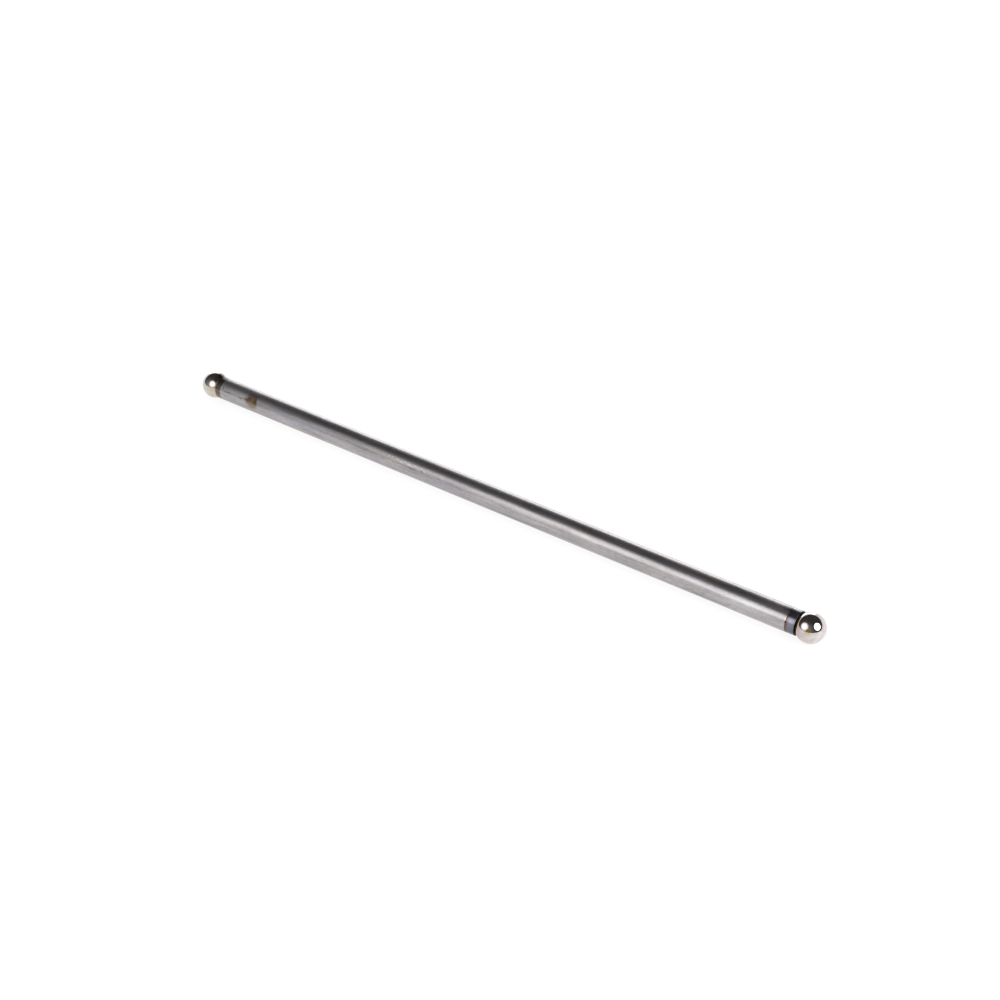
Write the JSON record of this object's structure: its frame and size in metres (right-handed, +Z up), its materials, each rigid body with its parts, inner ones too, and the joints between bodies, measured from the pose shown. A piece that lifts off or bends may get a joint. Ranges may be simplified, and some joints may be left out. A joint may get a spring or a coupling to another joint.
{
  "type": "engine pushrod",
  "caption": "Straight tubular steel pushrod with a polished ball welded to each end, which carries the cam lifter's motion to the rocker arm in an overhead-valve engine.",
  "frame": {"origin": "middle of the rod, on its axis", "axes": "+X along the rod towards the rocker end, +Z up as the rod lies"},
  "size_m": [0.256, 0.0096, 0.0096],
  "materials": {
    "ground_steel": "satin",
    "polished_ball_steel": "polished"
  },
  "bodies": {
    "root": {"rod_tube": "ground_steel", "rocker_end_ball": "polished_ball_steel", "lifter_end_ball": "polished_ball_steel"}
  },
  "joints": []
}
